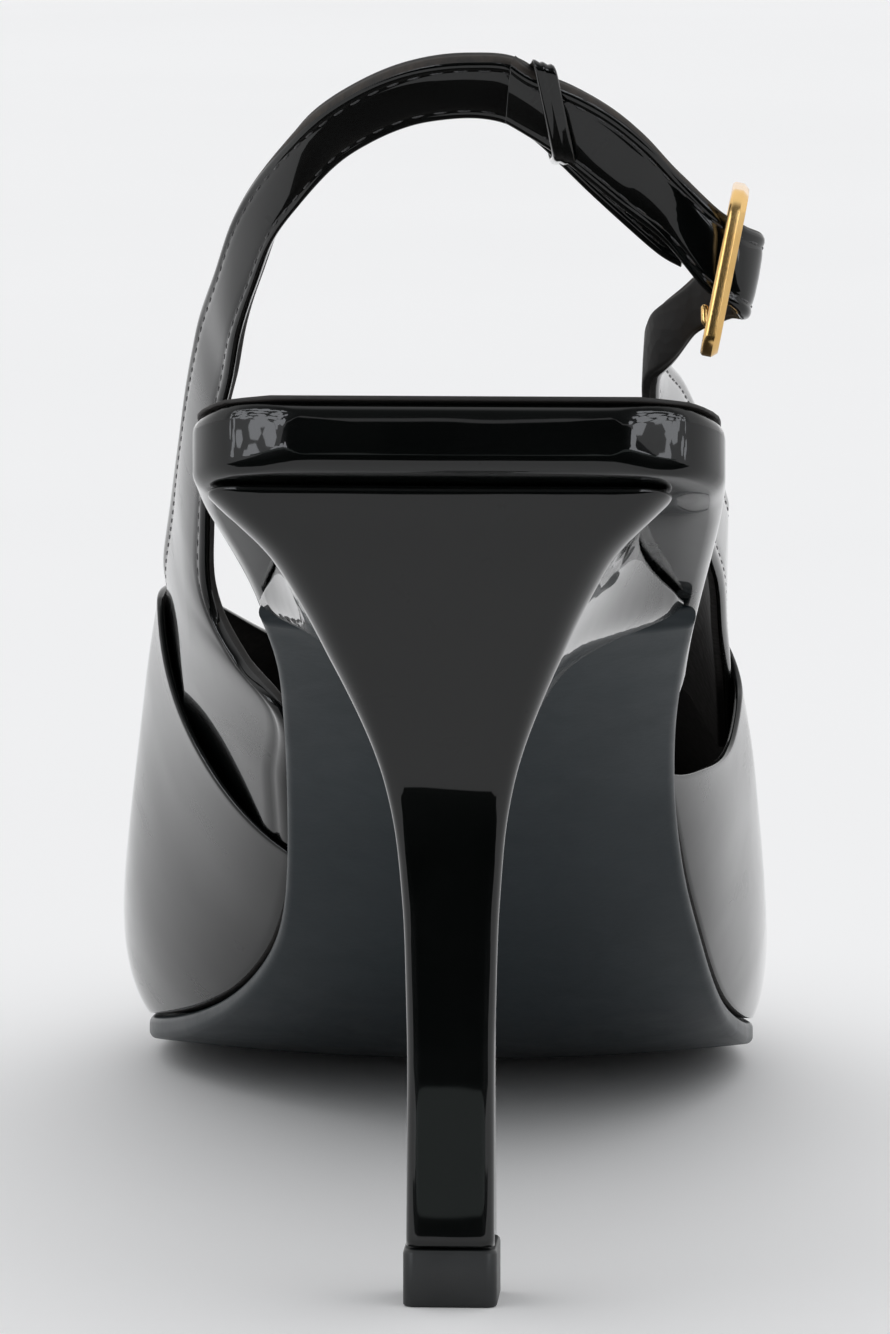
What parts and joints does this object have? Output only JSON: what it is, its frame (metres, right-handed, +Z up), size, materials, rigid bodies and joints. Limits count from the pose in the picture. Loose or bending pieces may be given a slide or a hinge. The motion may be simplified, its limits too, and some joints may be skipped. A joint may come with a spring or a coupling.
{
  "type": "slingback pump",
  "caption": "Right-foot slingback pump in black patent leather with a pointed toe, a slim high heel and a buckled strap round the back of the foot.",
  "frame": {"origin": "centre of the top-lift's underside, on the floor", "axes": "+Y to the toe, +X to the outer side of the foot, +Z up"},
  "size_m": [0.081, 0.2405, 0.1345],
  "materials": {
    "patent": "patent, mirror gloss",
    "outsole": "satin",
    "sock": "matte",
    "top_lift": "satin",
    "buckle": "polished"
  },
  "bodies": {
    "root": {"outsole": "outsole", "insole_board": "patent", "sock": "sock", "heel": "patent", "top_lift": "top_lift", "upper": "patent", "sling_strap": "patent", "buckle_strap": "patent", "keeper_loop": "patent", "buckle_frame": "buckle", "buckle_prong": "buckle"}
  },
  "joints": []
}
